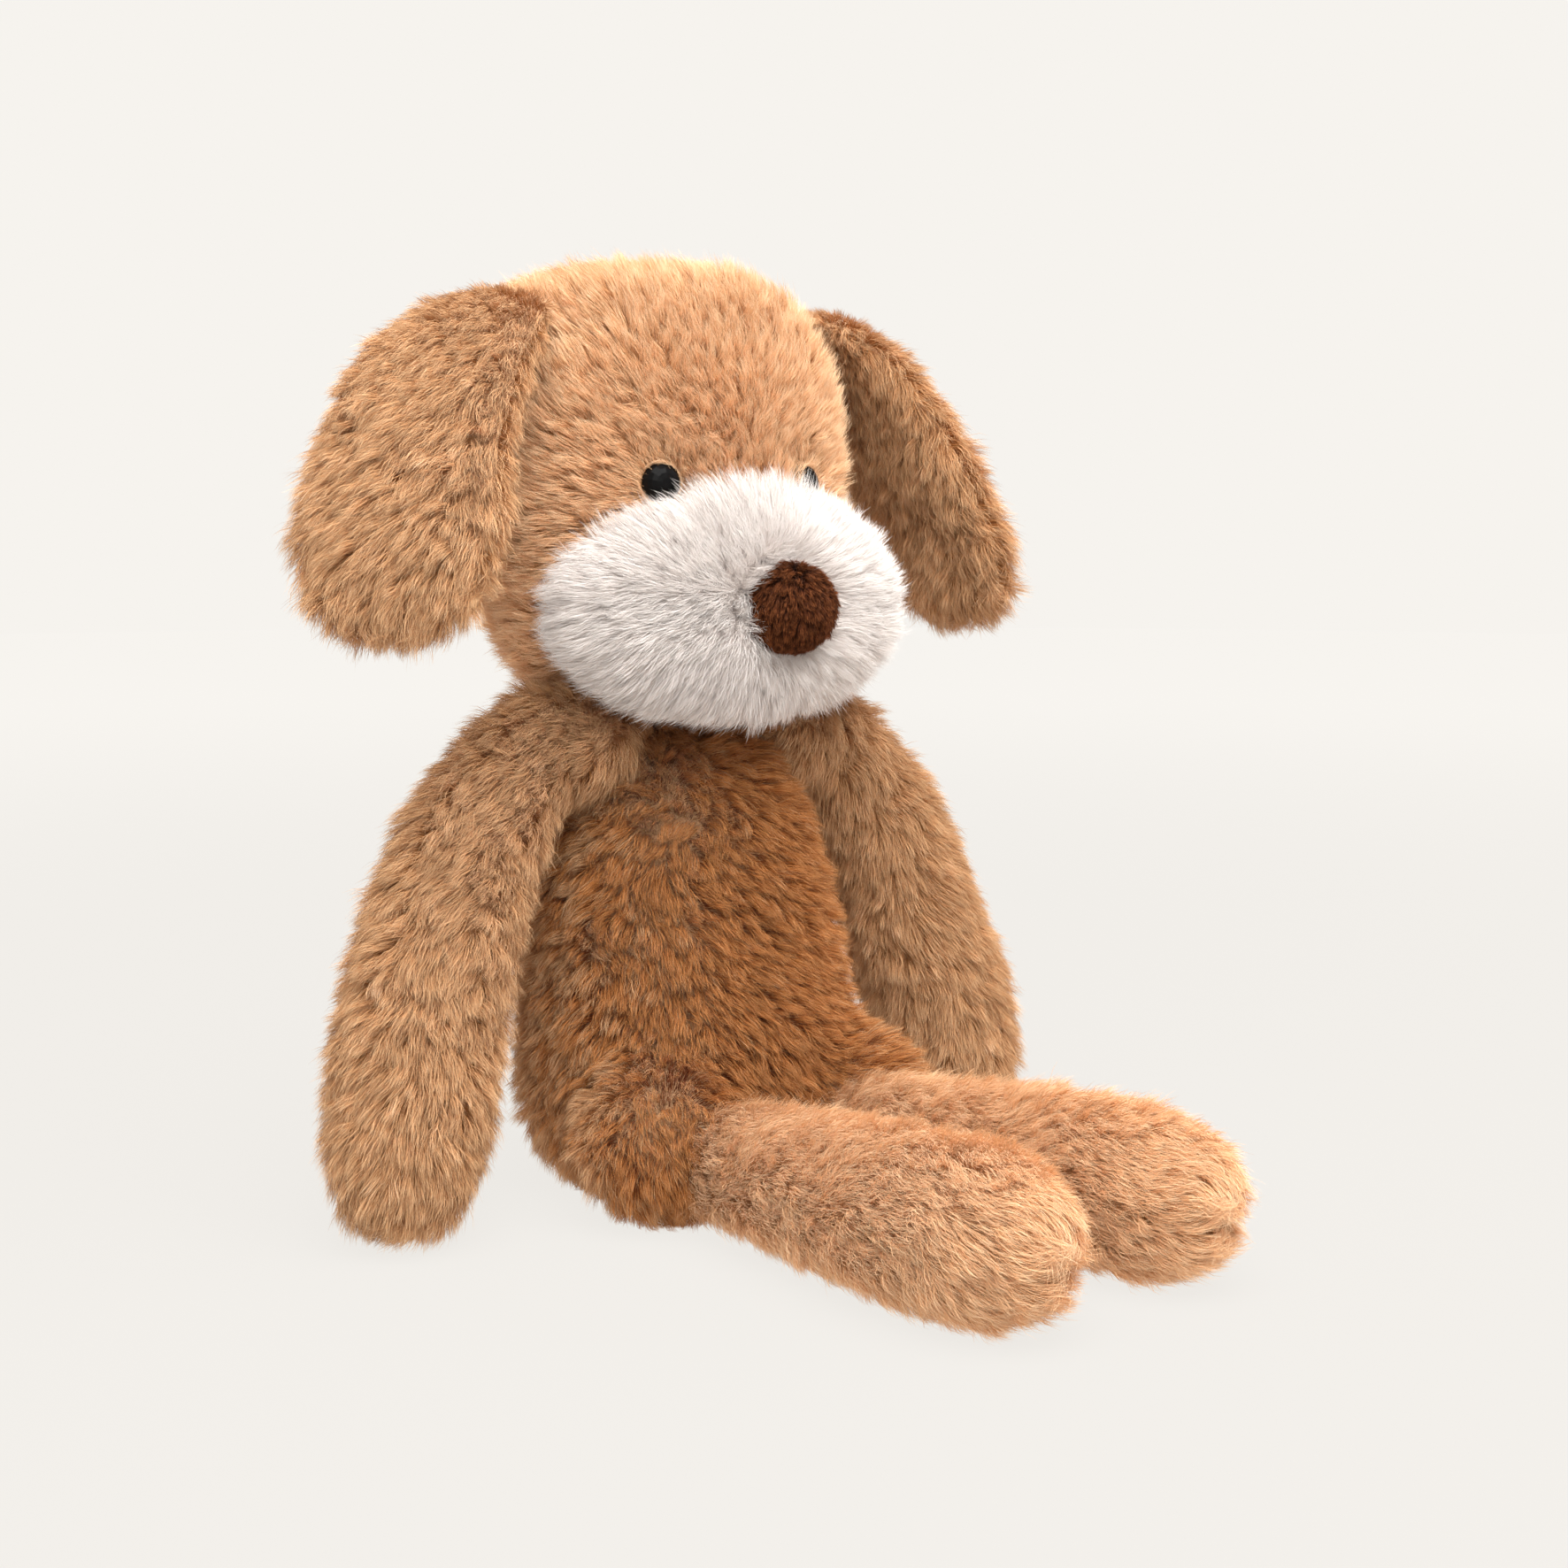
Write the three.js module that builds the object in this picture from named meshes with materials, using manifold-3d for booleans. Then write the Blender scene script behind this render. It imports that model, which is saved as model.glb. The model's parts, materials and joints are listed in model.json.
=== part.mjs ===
// A floppy plush dog that sits with its legs stretched out in front of it. Millimetres, +Z up.
// It sits on the floor z = 0 and faces -Y, and its left side is +X. The origin is the middle of its flat seat.
// Each limb is a stuffed bag: plush panels sewn edge to edge round loose filling, drawn as the solid that its
// fur fills on average. The panels stop at a round joint face, so that a limb turns clear of its neighbours.
import * as THREE from 'three';
import { mergeVertices } from 'three/addons/utils/BufferGeometryUtils.js';
import Module from 'manifold-3d';

const wasm = await Module();
wasm.setup();

// Driving dimensions. A bag's outline is rows of [half width, half depth, height] from its lower to its upper
// pole, and a route is the start, the bend and the end of the line that a limb follows.
const clearance = 0.3;
const jointClearance = 0.8;
const plush = 7;
const velour = 2.5;

const torso = {
  outline: [[0, 0, -5], [36, 34, -4.5], [52, 49, 12], [54, 52, 38], [52, 48, 80], [47, 41, 112], [42, 33, 132],
    [36, 25, 142], [24, 15, 148], [0, 0, 151]],
  lean: 0.09,
  seamY: 4,
  gussetTop: 9,
};
const neck = { pivot: [0, 20, 160], ballRadius: 22 };
const head = {
  outline: [[0, 0, 163], [34, 28, 165], [59, 43, 180], [68, 50, 210], [67, 50, 250], [57, 44, 279], [34, 28, 292],
    [0, 0, 296]],
  centreY: 21,
  seamY: 21,
};
const muzzle = {
  centre: [0, -19, 189],
  halfWidth: 67,
  halfDepth: 32,
  halfHeight: 40,
  narrowing: 0.2,
  chin: [0, -12, 165],
};
const nose = { centre: [0, -49, 187], radius: 15 };
const eye = { x: 29, z: 224.5, radius: 6.5, dome: 5, sunk: 4.5, shankRadius: 1.6, shankLength: 8, fit: 0.3 };
const washer = { radius: 6.5, thickness: 1.5 };
const ear = {
  root: [61, 18, 277],
  rootRadius: 11,
  outline: [[0, 0, -11], [7.8, 26, -7.8], [11, 32, 0], [13, 39, 40], [13, 44, 75], [13, 43, 102], [8, 29, 119],
    [0, 0, 123]],
  wall: 4.5,
  turn: 13,
  seam: { lean: 31, point: [93, 5, 236] },
  route: [[61, 18, 277], [95, 13, 265], [113, -3, 187]],
};
const arm = {
  root: [37, 7, 141],
  rootRadius: 17,
  outerX: 46,
  wall: plush,
  outline: [[0, 0, -16], [15, 15, -10], [20, 20, 12], [25, 25, 55], [27, 27, 100], [26, 26, 138], [17, 17, 159],
    [0, 0, 164]],
  route: [[55, 7, 149], [91, 8, 116], [111, -3, 30]],
};
const leg = {
  root: [28, -41, 20],
  rootRadius: 18.5,
  outline: [[0, 0, -18.5], [13.1, 13.1, -13.1], [18.5, 18.5, 0], [22, 22, 40], [26, 26, 95], [25, 26, 131],
    [17, 18, 152], [0, 0, 158]],
  wall: plush,
  splay: 2,
  rise: 2,
  swing: [-42, -20, 0, 25, 50, 75],
  thigh: 25,
};
const pellets = { centre: [0, 16, 32], halfWidth: 32, halfDepth: 22, halfHeight: 18 };
const stitches = { count: 8, pitch: 7, reach: 2.5, radius: 0.7, lowest: 64 };
const label = { width: 20, length: 32, thickness: 0.6, lowest: 30 };

const colours = {
  honey: 0xc8935c,
  white: 0xf4f2f0,
  chocolate: 0x4a2417,
  filling: 0xf2f0ea,
  lining: 0xd9d3c5,
  black: 0x0b0b0d,
  nylon: 0xe8e6e0,
  thread: 0xb98550,
  satin: 0xf6f5f2,
};

const hands = [['left', 1], ['right', -1]];
const model = new THREE.Group();

// Geometry helpers

const vectors = (rows) => rows.map((row) => new THREE.Vector3(...row));
const mirrored = ([x, y, z], hand) => [x * hand, y, z];

// The level line from front to back that a left (+1) or right (-1) limb turned outwards by degrees lies along
function levelAxis(degrees, hand) {
  const angle = THREE.MathUtils.degToRad(degrees);
  return new THREE.Vector3(hand * Math.sin(angle), Math.cos(angle), 0);
}

function welded(geometry) {
  const plain = geometry.clone();
  plain.deleteAttribute('normal');
  plain.deleteAttribute('uv');
  return mergeVertices(plain, 1e-3);
}

// A stuffed bag round the Z axis through its outline, squarer than an oval where fullness is over 1.
function bag(outline, around, along, fullness = 1) {
  const profile = new THREE.CatmullRomCurve3(vectors(outline), false, 'centripetal');
  const squared = (value) => Math.sign(value) * Math.abs(value) ** (1 / fullness);
  const skin = new THREE.SphereGeometry(1, around, along);
  const { position, uv } = skin.attributes;
  for (let i = 0; i < position.count; i += 1) {
    const ring = profile.getPointAt(uv.getY(i));
    const angle = uv.getX(i) * 2 * Math.PI;
    position.setXYZ(i, ring.x * squared(Math.cos(angle)), ring.y * squared(Math.sin(angle)), ring.z);
  }
  return welded(skin);
}

// A ball of radius 1 that is narrower towards its top by the given share
function narrowed(geometry, share) {
  const { position } = geometry.attributes;
  for (let i = 0; i < position.count; i += 1) {
    position.setX(i, position.getX(i) * (1 - share * Math.max(position.getZ(i), 0)));
  }
  return geometry;
}

// The bag leaning backwards by the given share of its height
function leaning(geometry, share) {
  const lean = new THREE.Matrix4().makeShear(0, 0, 0, 0, 0, share);
  return geometry.applyMatrix4(lean);
}

// The bag bent so that its Z axis follows the route, and its Y axis stays level, turned from the world's by degrees.
function bent(geometry, route, degrees = 0) {
  const line = new THREE.QuadraticBezierCurve3(...vectors(route));
  const length = line.getLength();
  const level = levelAxis(degrees, 1);
  const { position } = geometry.attributes;
  for (let i = 0; i < position.count; i += 1) {
    const share = position.getZ(i) / length;
    const held = Math.min(Math.max(share, 0), 1);
    const tangent = line.getTangentAt(held);
    const across = new THREE.Vector3().crossVectors(level, tangent).normalize();
    const point = line.getPointAt(held)
      .addScaledVector(tangent, (share - held) * length)
      .addScaledVector(across, position.getX(i))
      .addScaledVector(level, position.getY(i));
    position.setXYZ(i, point.x, point.y, point.z);
  }
  return geometry;
}

// The same skin, deeper inside by the given distance, or further out where it is negative.
function sunk(geometry, depth) {
  const inner = geometry.clone();
  inner.computeVertexNormals();
  const { position, normal } = inner.attributes;
  const point = new THREE.Vector3();
  const outward = new THREE.Vector3();
  for (let i = 0; i < position.count; i += 1) {
    outward.fromBufferAttribute(normal, i);
    point.fromBufferAttribute(position, i).addScaledVector(outward, -depth);
    position.setXYZ(i, point.x, point.y, point.z);
  }
  return inner;
}

// The same geometry for the dog's left (+1) or right (-1) hand.
function handed(geometry, hand) {
  const other = welded(geometry).scale(hand, 1, 1);
  const { index } = other;
  for (let i = 0; hand < 0 && i < index.count; i += 3) {
    const first = index.getX(i);
    index.setX(i, index.getX(i + 1));
    index.setX(i + 1, first);
  }
  return other;
}

function solid(geometry) {
  const clean = welded(geometry);
  const vertProperties = new Float32Array(clean.attributes.position.array);
  const triVerts = new Uint32Array(clean.index.array);
  return new wasm.Manifold(new wasm.Mesh({ numProp: 3, vertProperties, triVerts }));
}

function ball(radius, [x, y, z]) {
  return solid(new THREE.SphereGeometry(radius, 18, 10).rotateZ(Math.PI / 2).translate(x, y, z));
}

const upright = new THREE.Vector3(0, 1, 0);

function cylinder(radius, length, axis, [x, y, z], farRadius = radius) {
  const turn = new THREE.Quaternion().setFromUnitVectors(upright, new THREE.Vector3(...axis).normalize());
  const rod = new THREE.CylinderGeometry(farRadius, radius, length, 18);
  return solid(rod.applyQuaternion(turn).translate(x, y, z));
}

// Everything on the side of a plane that its axis points to, as a large box with one face on the plane.
function side(axis, [x, y, z]) {
  const reach = 1000;
  const turn = new THREE.Quaternion().setFromUnitVectors(upright, new THREE.Vector3(...axis).normalize());
  const box = new THREE.BoxGeometry(reach, reach, reach).translate(0, reach / 2, 0);
  return solid(box.applyQuaternion(turn).translate(x, y, z));
}

// The two parts of a solid on either side of a seam, with a hair of space between them.
function split(body, axis, point) {
  const forward = new THREE.Vector3(...axis).normalize();
  const start = new THREE.Vector3(...point);
  const ahead = start.clone().addScaledVector(forward, clearance / 2);
  const behind = start.clone().addScaledVector(forward, -clearance / 2);
  return [
    body.intersect(side(forward.toArray(), ahead.toArray())),
    body.intersect(side(forward.clone().negate().toArray(), behind.toArray())),
  ];
}

// The wall of a bag, and the filling that lies inside the wall.
function stuffed(geometry, wall) {
  const shell = solid(geometry).subtract(solid(sunk(geometry, wall)));
  return [shell, solid(sunk(geometry, wall + clearance))];
}

// The outline of the bag that lies inside another by the thickness of its wall
function inset(outline, wall) {
  const low = outline[0][2];
  const high = outline[outline.length - 1][2];
  const middle = (low + high) / 2;
  const shrink = 1 - (2 * wall) / (high - low);
  return outline.map(([x, y, z]) => [Math.max(x - wall, 0), Math.max(y - wall, 0), middle + (z - middle) * shrink]);
}

// The largest connected part of a mesh, without the slivers that a cut can leave.
function largestPart(geometry) {
  const { index } = geometry;
  const leader = Array.from({ length: geometry.attributes.position.count }, (_, i) => i);
  const find = (i) => {
    let top = i;
    while (leader[top] !== top) {
      top = leader[top];
    }
    leader[i] = top;
    return top;
  };
  const parts = new Map();
  for (let i = 0; i < index.count; i += 3) {
    leader[find(index.getX(i + 1))] = find(index.getX(i));
    leader[find(index.getX(i + 2))] = find(index.getX(i));
  }
  for (let i = 0; i < index.count; i += 3) {
    const key = find(index.getX(i));
    const corners = [index.getX(i), index.getX(i + 1), index.getX(i + 2)];
    parts.set(key, [...(parts.get(key) ?? []), ...corners]);
  }
  const faces = [...parts.values()].reduce((best, part) => (part.length > best.length ? part : best));
  geometry.setIndex(faces);
  return geometry;
}

function add(name, body, color, roughness) {
  const { vertProperties, triVerts } = body.getMesh();
  const cut = new THREE.BufferGeometry();
  cut.setAttribute('position', new THREE.BufferAttribute(new Float32Array(vertProperties), 3));
  cut.setIndex(new THREE.BufferAttribute(new Uint32Array(triVerts), 1));
  const geometry = largestPart(cut);
  geometry.computeVertexNormals();
  const mesh = new THREE.Mesh(geometry, new THREE.MeshStandardMaterial({ color, roughness, metalness: 0 }));
  mesh.name = name;
  model.add(mesh);
}

const addPlush = (name, body) => add(name, body, colours.honey, 0.95);
const addFilling = (name, body) => add(name, body, colours.filling, 1);

// Shapes that more than one piece needs

const above = side([0, 0, 1], [0, 0, 0]);
const torsoShape = leaning(bag(torso.outline, 16, 11, 1.1), torso.lean);
const headShape = bag(head.outline, 18, 11, 1.15).translate(0, head.centreY, 0);
const muzzleShape = narrowed(welded(new THREE.SphereGeometry(1, 18, 10)), muzzle.narrowing)
  .scale(muzzle.halfWidth, muzzle.halfDepth, muzzle.halfHeight)
  .translate(...muzzle.centre);
const limbBag = (outline) => bag(outline, 14, 9);
const earBag = (outline) => bent(limbBag(outline), ear.route, ear.turn);
const earShape = earBag(ear.outline);
const noseShape = welded(new THREE.SphereGeometry(nose.radius, 12, 8)).translate(...nose.centre);

// Joint faces: a ball at the neck and at each hip, a short round root at each shoulder and ear

const neckBall = ball(neck.ballRadius, neck.pivot);
const neckSocket = ball(neck.ballRadius + jointClearance, neck.pivot);

// The groove that an ear needs in the head: its round root, and the ear itself where it rests on the head.
function earSocket(hand) {
  const axis = levelAxis(ear.turn, hand).toArray();
  const groove = cylinder(ear.rootRadius + jointClearance, 100, axis, mirrored(ear.root, hand));
  return groove.add(solid(sunk(handed(earShape, hand), -jointClearance)));
}

function shoulder(hand, radius, inset) {
  const length = 30;
  const [x, y, z] = arm.root;
  return cylinder(radius, length, [1, 0, 0], [hand * (x - inset + length / 2), y, z]);
}

// The room that a leg needs in the torso: a ball at the hip, and the leg itself as it swings up and down.
function hipRoom(hand) {
  const radius = leg.rootRadius + jointClearance;
  const [x, y, z] = mirrored(leg.root, hand);
  const length = 60;
  return leg.swing.reduce((room, degrees) => {
    const angle = THREE.MathUtils.degToRad(degrees);
    const axis = [0, -Math.cos(angle), -Math.sin(angle)];
    const middle = [x, y + (axis[1] * length) / 2, z + (axis[2] * length) / 2];
    return room.add(cylinder(radius, length, axis, middle, leg.thigh));
  }, ball(radius, [x, y, z]));
}

function makeTorso() {
  const [shell, filling] = stuffed(torsoShape, plush);
  const seatTop = [0, 0, plush];
  const inside = solid(sunk(torsoShape, plush));
  const seat = solid(sunk(torsoShape, plush / 2)).intersect(above).subtract(side([0, 0, 1], seatTop));
  const neckInside = ball(neck.ballRadius - plush, neck.pivot);
  let wall = shell.add(neckBall.subtract(inside)).subtract(neckInside).intersect(above).add(seat);
  let core = filling.intersect(side([0, 0, 1], [0, 0, plush + clearance]));
  core = core.add(ball(neck.ballRadius - plush - clearance, neck.pivot));
  for (const [, hand] of hands) {
    const room = hipRoom(hand).add(shoulder(hand, arm.rootRadius + jointClearance, jointClearance));
    wall = wall.subtract(room);
    core = core.subtract(room);
  }
  const [upper, gusset] = split(wall, [0, 0, 1], [0, 0, torso.gussetTop]);
  const [back, front] = split(upper, [0, 1, 0], [0, torso.seamY, 0]);
  const [backLeft, backRight] = split(back, [1, 0, 0], [0, 0, 0]);
  addPlush('torso_front_panel', front);
  addPlush('torso_back_panel_left', backLeft);
  addPlush('torso_back_panel_right', backRight);
  addPlush('seat_gusset', gusset);
  const sack = welded(new THREE.SphereGeometry(1, 12, 7))
    .scale(pellets.halfWidth, pellets.halfDepth, pellets.halfHeight)
    .translate(...pellets.centre);
  // the pellets lie in a hollow of the filling that is open towards the seat
  const [x, y, z] = pellets.centre;
  const mouth = cylinder(pellets.halfDepth / 2, z, [0, 0, 1], [x, y, z / 2]);
  const hollow = solid(sunk(sack, -clearance)).add(mouth);
  addFilling('torso_stuffing', core.subtract(hollow));
  add('pellet_bag', solid(sack), colours.lining, 0.9);
}

// Where a level line from the front (-1) or the back (+1) first meets a skin, and which way the skin faces there
function surface(geometry, x, z, from) {
  const start = new THREE.Vector3(x, from * 500, z);
  const ray = new THREE.Raycaster(start, new THREE.Vector3(0, -from, 0));
  const [hit] = ray.intersectObject(new THREE.Mesh(geometry));
  return { point: hit.point, normal: hit.face.normal };
}

// A turned piece, whose +Y is its axis, placed at a height on an axis.
function turned(profile, origin, axis) {
  const turn = new THREE.Quaternion().setFromUnitVectors(upright, axis);
  const points = profile.map(([radius, height]) => new THREE.Vector2(radius, height));
  return solid(new THREE.LatheGeometry(points, 14).applyQuaternion(turn).translate(...origin.toArray()));
}

function eyePlace(hand) {
  const { point, normal } = surface(headShape, hand * eye.x, eye.z, -1);
  return { origin: point.addScaledVector(normal, -eye.sunk), axis: normal };
}

function eyeBody({ origin, axis }) {
  const dome = [];
  for (let step = 6; step >= 0; step -= 1) {
    const angle = (step / 6) * (Math.PI / 2);
    dome.push([eye.radius * Math.sin(angle), eye.dome * Math.cos(angle)]);
  }
  const shank = [[0, -eye.shankLength], [eye.shankRadius, -eye.shankLength], [eye.shankRadius, 0]];
  return turned([...shank, ...dome], origin, axis);
}

// The pocket that an eye needs in the face panel, and the wider one that its washer needs in the filling
function eyePocket({ origin, axis }) {
  const wide = eye.radius + eye.fit;
  const narrow = eye.shankRadius + eye.fit;
  const low = -eye.shankLength - eye.fit;
  const profile = [[0, low], [narrow, low], [narrow, -eye.fit], [wide, -eye.fit], [wide, 20], [0, 20]];
  return turned(profile, origin, axis);
}

function washerPocket({ origin, axis }) {
  const low = -eye.shankLength - 1;
  const wide = washer.radius + eye.fit;
  return turned([[0, low], [wide, low], [wide, 0], [0, 0]], origin, axis);
}

function washerBody({ origin, axis }) {
  const top = eye.sunk - plush - eye.fit;
  const low = top - washer.thickness;
  const bore = eye.shankRadius + eye.fit;
  return turned([[bore, low], [washer.radius, low], [washer.radius, top], [bore, top], [bore, low]], origin, axis);
}

function makeHead() {
  const [shell, filling] = stuffed(headShape, plush);
  let wall = shell.subtract(neckSocket);
  let core = filling.subtract(neckSocket);
  for (const [label, hand] of hands) {
    const place = eyePlace(hand);
    wall = wall.subtract(earSocket(hand)).subtract(eyePocket(place));
    core = core.subtract(earSocket(hand)).subtract(washerPocket(place));
    add(`eye_${label}`, eyeBody(place), colours.black, 0.08);
    add(`eye_washer_${label}`, washerBody(place), colours.nylon, 0.5);
  }
  const [back, face] = split(wall, [0, 1, 0], [0, head.seamY, 0]);
  const [backLeft, backRight] = split(back, [1, 0, 0], [0, 0, 0]);
  addPlush('head_face_panel', face);
  addPlush('head_back_panel_left', backLeft);
  addPlush('head_back_panel_right', backRight);
  addFilling('head_stuffing', core);
}

function makeMuzzle() {
  const taken = [solid(sunk(headShape, -clearance)), solid(sunk(noseShape, -clearance))];
  taken.push(...hands.map(([, hand]) => eyePocket(eyePlace(hand))));
  taken.push(neckSocket, side([0, 1, -1], muzzle.chin));
  const trim = (body) => taken.reduce((rest, cut) => rest.subtract(cut), body);
  const [shell, filling] = stuffed(muzzleShape, plush);
  const [upper, lower] = split(trim(shell), [0, 0, 1], [0, 0, nose.centre[2]]);
  const [lowerLeft, lowerRight] = split(lower, [1, 0, 0], [0, 0, 0]);
  add('muzzle_upper_panel', upper, colours.white, 0.95);
  add('muzzle_lower_panel_left', lowerLeft, colours.white, 0.95);
  add('muzzle_lower_panel_right', lowerRight, colours.white, 0.95);
  addFilling('muzzle_stuffing', trim(filling));
}

// The nose is a small bag drawn shut at the back, where its mouth is.
function makeNose() {
  const [shell, filling] = stuffed(noseShape, velour);
  const [x, y, z] = nose.centre;
  const mouth = cylinder(nose.radius / 3, nose.radius, [0, 1, 0], [x, y + nose.radius, z]);
  add('nose_cover', shell.subtract(mouth), colours.chocolate, 0.9);
  addFilling('nose_stuffing', filling);
}

// The two panels and the filling of a limb on each side, trimmed and split along its seam. The shape is a function
// that makes the left limb's bag from an outline.
function makeLimb(name, { outline, wall }, shape, trim, seam, panels) {
  for (const [label, hand] of hands) {
    const bagOf = (rows) => solid(handed(shape(rows), hand));
    const shell = bagOf(outline).subtract(bagOf(inset(outline, wall)));
    const [first, second] = split(trim(shell, hand), mirrored(seam.axis, hand), mirrored(seam.point, hand));
    addPlush(`${name}_${label}_${panels[0]}`, first);
    addPlush(`${name}_${label}_${panels[1]}`, second);
    addFilling(`${name}_${label}_stuffing`, trim(bagOf(inset(outline, wall + clearance)), hand));
  }
}

function makeEars() {
  const outward = new THREE.Vector3().crossVectors(levelAxis(ear.turn, 1), new THREE.Vector3(0, 0, 1));
  const lean = THREE.MathUtils.degToRad(ear.seam.lean);
  const axis = outward.multiplyScalar(Math.cos(lean)).add(new THREE.Vector3(0, 0, Math.sin(lean))).toArray();
  const seam = { axis, point: ear.seam.point };
  makeLimb('ear', ear, earBag, (body) => body, seam, ['outer_panel', 'inner_panel']);
}

function makeArms() {
  const armBag = (outline) => bent(limbBag(outline), arm.route);
  const trim = (body, hand) => {
    const outer = body.intersect(side([hand, 0, 0], [hand * arm.outerX, 0, 0]));
    return outer.add(body.intersect(shoulder(hand, arm.rootRadius, 0)));
  };
  const seam = { axis: [0, 1, 0], point: [0, arm.root[1], 0] };
  makeLimb('arm', arm, armBag, trim, seam, ['back_panel', 'front_panel']);
}

function makeLegs() {
  const legBag = (outline) => limbBag(outline)
    .rotateX(Math.PI / 2 - THREE.MathUtils.degToRad(leg.rise))
    .rotateZ(THREE.MathUtils.degToRad(leg.splay))
    .translate(...leg.root);
  const trim = (body) => body.intersect(above);
  makeLimb('leg', leg, legBag, trim, { axis: [0, 0, 1], point: leg.root }, ['upper_panel', 'lower_panel']);
}

// One thread that zigzags over the seam in the back, where the torso was filled and sewn shut.
function makeStitches() {
  const corners = [];
  for (let i = 0; i <= stitches.count; i += 1) {
    const across = stitches.reach * (i % 2 === 0 ? 1 : -1);
    const { point } = surface(torsoShape, across, stitches.lowest + i * stitches.pitch, 1);
    corners.push(point.add(new THREE.Vector3(0, stitches.radius + 4 * clearance, 0)));
  }
  const path = new THREE.CatmullRomCurve3(corners);
  const section = new THREE.Shape().absarc(0, 0, stitches.radius, 0, 2 * Math.PI);
  const options = { steps: stitches.count * 4, curveSegments: 3, bevelEnabled: false, extrudePath: path };
  add('closing_stitches', solid(new THREE.ExtrudeGeometry(section, options)), colours.thread, 0.8);
}

// A blank satin tab, caught in the seam of the back and lying on the right back panel
function makeLabel() {
  const { width, length, thickness, lowest } = label;
  const tab = new THREE.BoxGeometry(length, thickness, width, 8, 1, 2);
  const { position } = tab.attributes;
  for (let i = 0; i < position.count; i += 1) {
    const x = position.getX(i) - length / 2 - stitches.reach;
    const z = position.getZ(i) + width / 2 + lowest;
    const lift = position.getY(i) + thickness / 2 + clearance * 3;
    position.setXYZ(i, x, surface(torsoShape, x, z, 1).point.y + lift, z);
  }
  add('care_label', solid(tab), colours.satin, 0.5);
}

makeTorso();
makeHead();
makeMuzzle();
makeNose();
makeEars();
makeArms();
makeLegs();
makeStitches();
makeLabel();

export default model;
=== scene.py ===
"""The looks of a floppy plush dog: its pile, white muzzle, velour nose, glossy eyes, seams and label.

The pile is real geometry. Every stuffed bag gets a closed skin made from its CAD solids, and many thin fibres
stand on that skin in tufts, combed away from a source point. Metres, +Z up.
"""
import json
import math
from dataclasses import dataclass

import bmesh
import bpy
import numpy as np
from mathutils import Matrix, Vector, noise
from mathutils.bvhtree import BVHTree
from mathutils.kdtree import KDTree


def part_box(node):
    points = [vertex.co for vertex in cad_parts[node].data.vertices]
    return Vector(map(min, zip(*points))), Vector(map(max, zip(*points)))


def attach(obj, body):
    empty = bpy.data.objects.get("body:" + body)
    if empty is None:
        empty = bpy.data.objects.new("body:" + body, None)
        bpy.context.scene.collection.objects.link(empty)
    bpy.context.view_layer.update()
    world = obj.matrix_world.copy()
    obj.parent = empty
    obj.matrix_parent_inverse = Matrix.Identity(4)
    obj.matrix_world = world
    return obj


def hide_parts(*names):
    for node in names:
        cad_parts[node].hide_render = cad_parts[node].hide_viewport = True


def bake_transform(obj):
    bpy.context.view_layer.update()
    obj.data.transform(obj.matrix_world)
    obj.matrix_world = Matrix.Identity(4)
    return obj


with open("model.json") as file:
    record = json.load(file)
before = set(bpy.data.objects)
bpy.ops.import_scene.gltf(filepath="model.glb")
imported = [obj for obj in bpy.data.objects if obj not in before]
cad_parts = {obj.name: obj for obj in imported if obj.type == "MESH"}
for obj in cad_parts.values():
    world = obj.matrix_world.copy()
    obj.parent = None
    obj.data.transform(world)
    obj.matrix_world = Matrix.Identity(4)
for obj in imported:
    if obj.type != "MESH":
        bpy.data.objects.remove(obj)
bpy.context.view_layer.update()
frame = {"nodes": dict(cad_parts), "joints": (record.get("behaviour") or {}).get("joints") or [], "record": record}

MM = 0.001
HANDS = (("left", 1), ("right", -1))

VOXEL = 3 * MM
BACKING_DEPTH = 5 * MM      # how far the backing lies inside the CAD solid, whose wall holds half of the pile
SEAM_DEPTH = 2.2 * MM
SEAM_WIDTH = 3.5 * MM
LUMPS_PER_METRE = 45
SEWN_REACH = 30 * MM        # how far from its sewn end a bag's pile is shorter and has painted shade
EYE_PARTING = 9 * MM        # how far round an eye the pile parts
EYE_REACH = 20 * MM         # how far in front of or behind an eye's middle it does
FLOOR_GAP = 0.4 * MM
LABEL_MARGIN = 0.8 * MM
LABEL_GAP = 0.4 * MM
FIBRE_LEVELS = np.array([0, 0.36, 0.72, 1.0])
LEVEL_NAMES = ("root", "shaft", "tip")
DENSITY_SHARE = 1.0

nodes = frame["nodes"]
pivots = {j["name"]: Vector(j["pos_m"]) for j in frame["joints"]}


def middle(*names):
    """The middle of the box round some CAD nodes."""
    boxes = [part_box(n) for n in names]
    low = Vector([min(b[0][k] for b in boxes) for k in range(3)])
    high = Vector([max(b[1][k] for b in boxes) for k in range(3)])
    return (low + high) / 2


# Materials

def principled(name, colour, roughness, **inputs):
    """A material whose colour and roughness are the same all over."""
    material = bpy.data.materials.new(name)
    material.use_nodes = True
    shader = material.node_tree.nodes["Principled BSDF"]
    shader.inputs["Base Color"].default_value = (*colour, 1)
    shader.inputs["Roughness"].default_value = roughness
    for key, value in inputs.items():
        shader.inputs[key.replace("_", " ").title().replace("Ior", "IOR")].default_value = value
    material.diffuse_color = (*colour, 1)
    return material


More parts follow.
